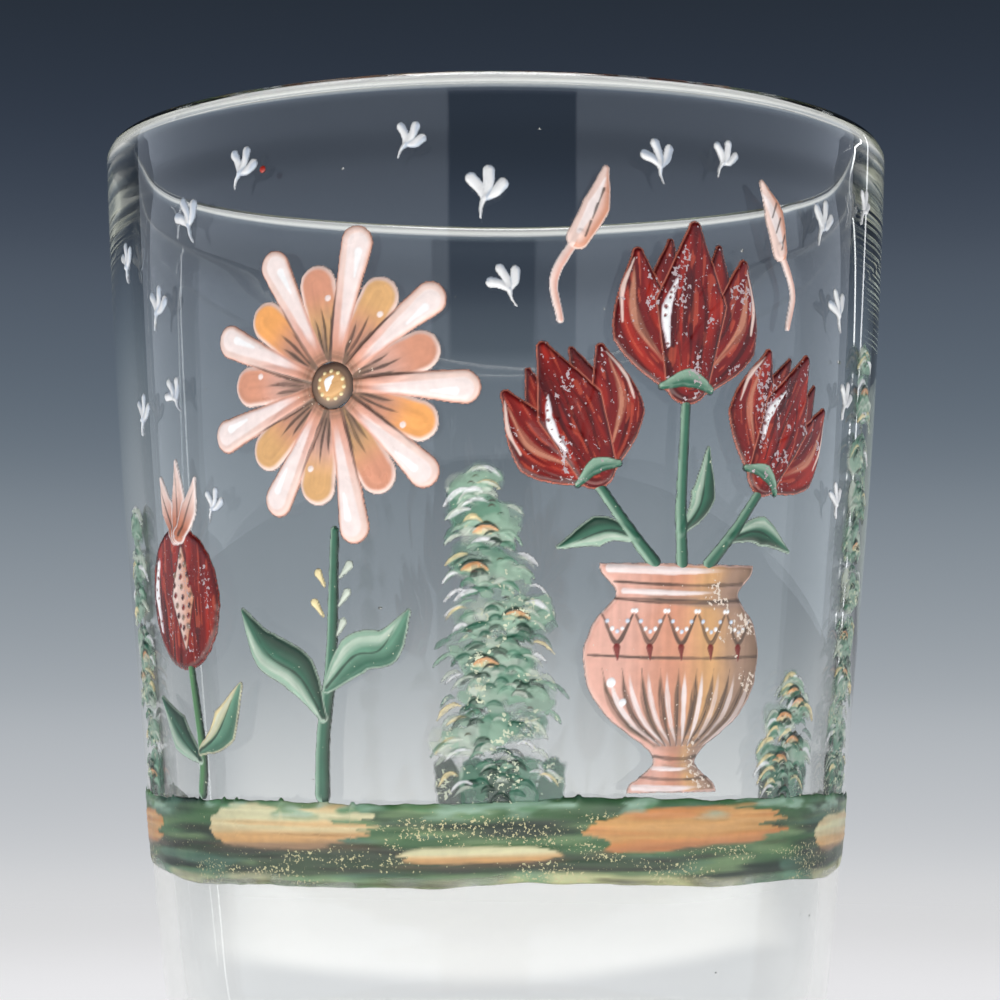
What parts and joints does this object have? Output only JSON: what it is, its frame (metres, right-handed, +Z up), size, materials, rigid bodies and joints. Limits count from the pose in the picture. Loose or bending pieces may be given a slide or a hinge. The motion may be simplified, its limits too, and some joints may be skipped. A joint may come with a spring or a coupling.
{
  "type": "enamelled glass tumbler",
  "caption": "Hand-blown glass tumbler, tapering to its foot, with a raised fired-enamel floral design over a green and ochre ground band.",
  "frame": {"origin": "centre of the foot, on the surface the tumbler stands on", "axes": "+Z up along the tumbler's axis, the painted side faces -Y"},
  "size_m": [0.09, 0.0901, 0.111],
  "materials": {
    "glass": "clear, fire-polished, faint grey tint, slight waviness and a few seeds",
    "enamel_ground": "fired enamel, green dabs over cream, ochre and dark green patches, satin gloss",
    "enamel_pale_pink": "fired enamel, pale pink with salmon and brown wash, glossy",
    "enamel_brown": "fired enamel, dark brown with a white highlight, glossy",
    "enamel_salmon": "fired enamel, salmon and ochre with brown strokes, worn speckle, satin",
    "enamel_red": "fired enamel, deep red with brighter strokes and pale speckle, glossy",
    "enamel_green": "fired enamel, teal, mint and cream strokes laid over each other, satin",
    "enamel_white": "fired enamel, white with tiny bubble pits, glossy"
  },
  "bodies": {
    "root": {"enamel_bud_stalk_left": "enamel_pale_pink", "enamel_bud_stalk_right": "enamel_pale_pink", "enamel_ground_band": "enamel_ground", "enamel_left_frond": "enamel_green", "enamel_left_fruit": "enamel_red", "enamel_left_fruit_stem": "enamel_green", "enamel_middle_frond": "enamel_green", "enamel_right_bush": "enamel_green", "enamel_right_frond": "enamel_green", "enamel_star_boss": "enamel_brown", "enamel_star_petals": "enamel_pale_pink", "enamel_star_stem": "enamel_green", "enamel_tulip_left": "enamel_red", "enamel_tulip_middle": "enamel_red", "enamel_tulip_right": "enamel_red", "enamel_tulip_stem_left": "enamel_green", "enamel_tulip_stem_middle": "enamel_green", "enamel_tulip_stem_right": "enamel_green", "enamel_urn": "enamel_salmon", "enamel_white_blossom_01": "enamel_white", "enamel_white_blossom_02": "enamel_white", "enamel_white_blossom_03": "enamel_white", "enamel_white_blossom_04": "enamel_white", "enamel_white_blossom_05": "enamel_white", "enamel_white_blossom_06": "enamel_white", "enamel_white_blossom_07": "enamel_white", "enamel_white_blossom_08": "enamel_white", "enamel_white_blossom_09": "enamel_white", "enamel_white_blossom_10": "enamel_white", "enamel_white_blossom_11": "enamel_white", "enamel_white_blossom_12": "enamel_white", "enamel_white_blossom_13": "enamel_white", "enamel_white_blossom_14": "enamel_white", "enamel_white_blossom_15": "enamel_white", "enamel_white_blossom_16": "enamel_white", "enamel_white_blossom_17": "enamel_white", "glass_body": "glass"}
  },
  "joints": []
}
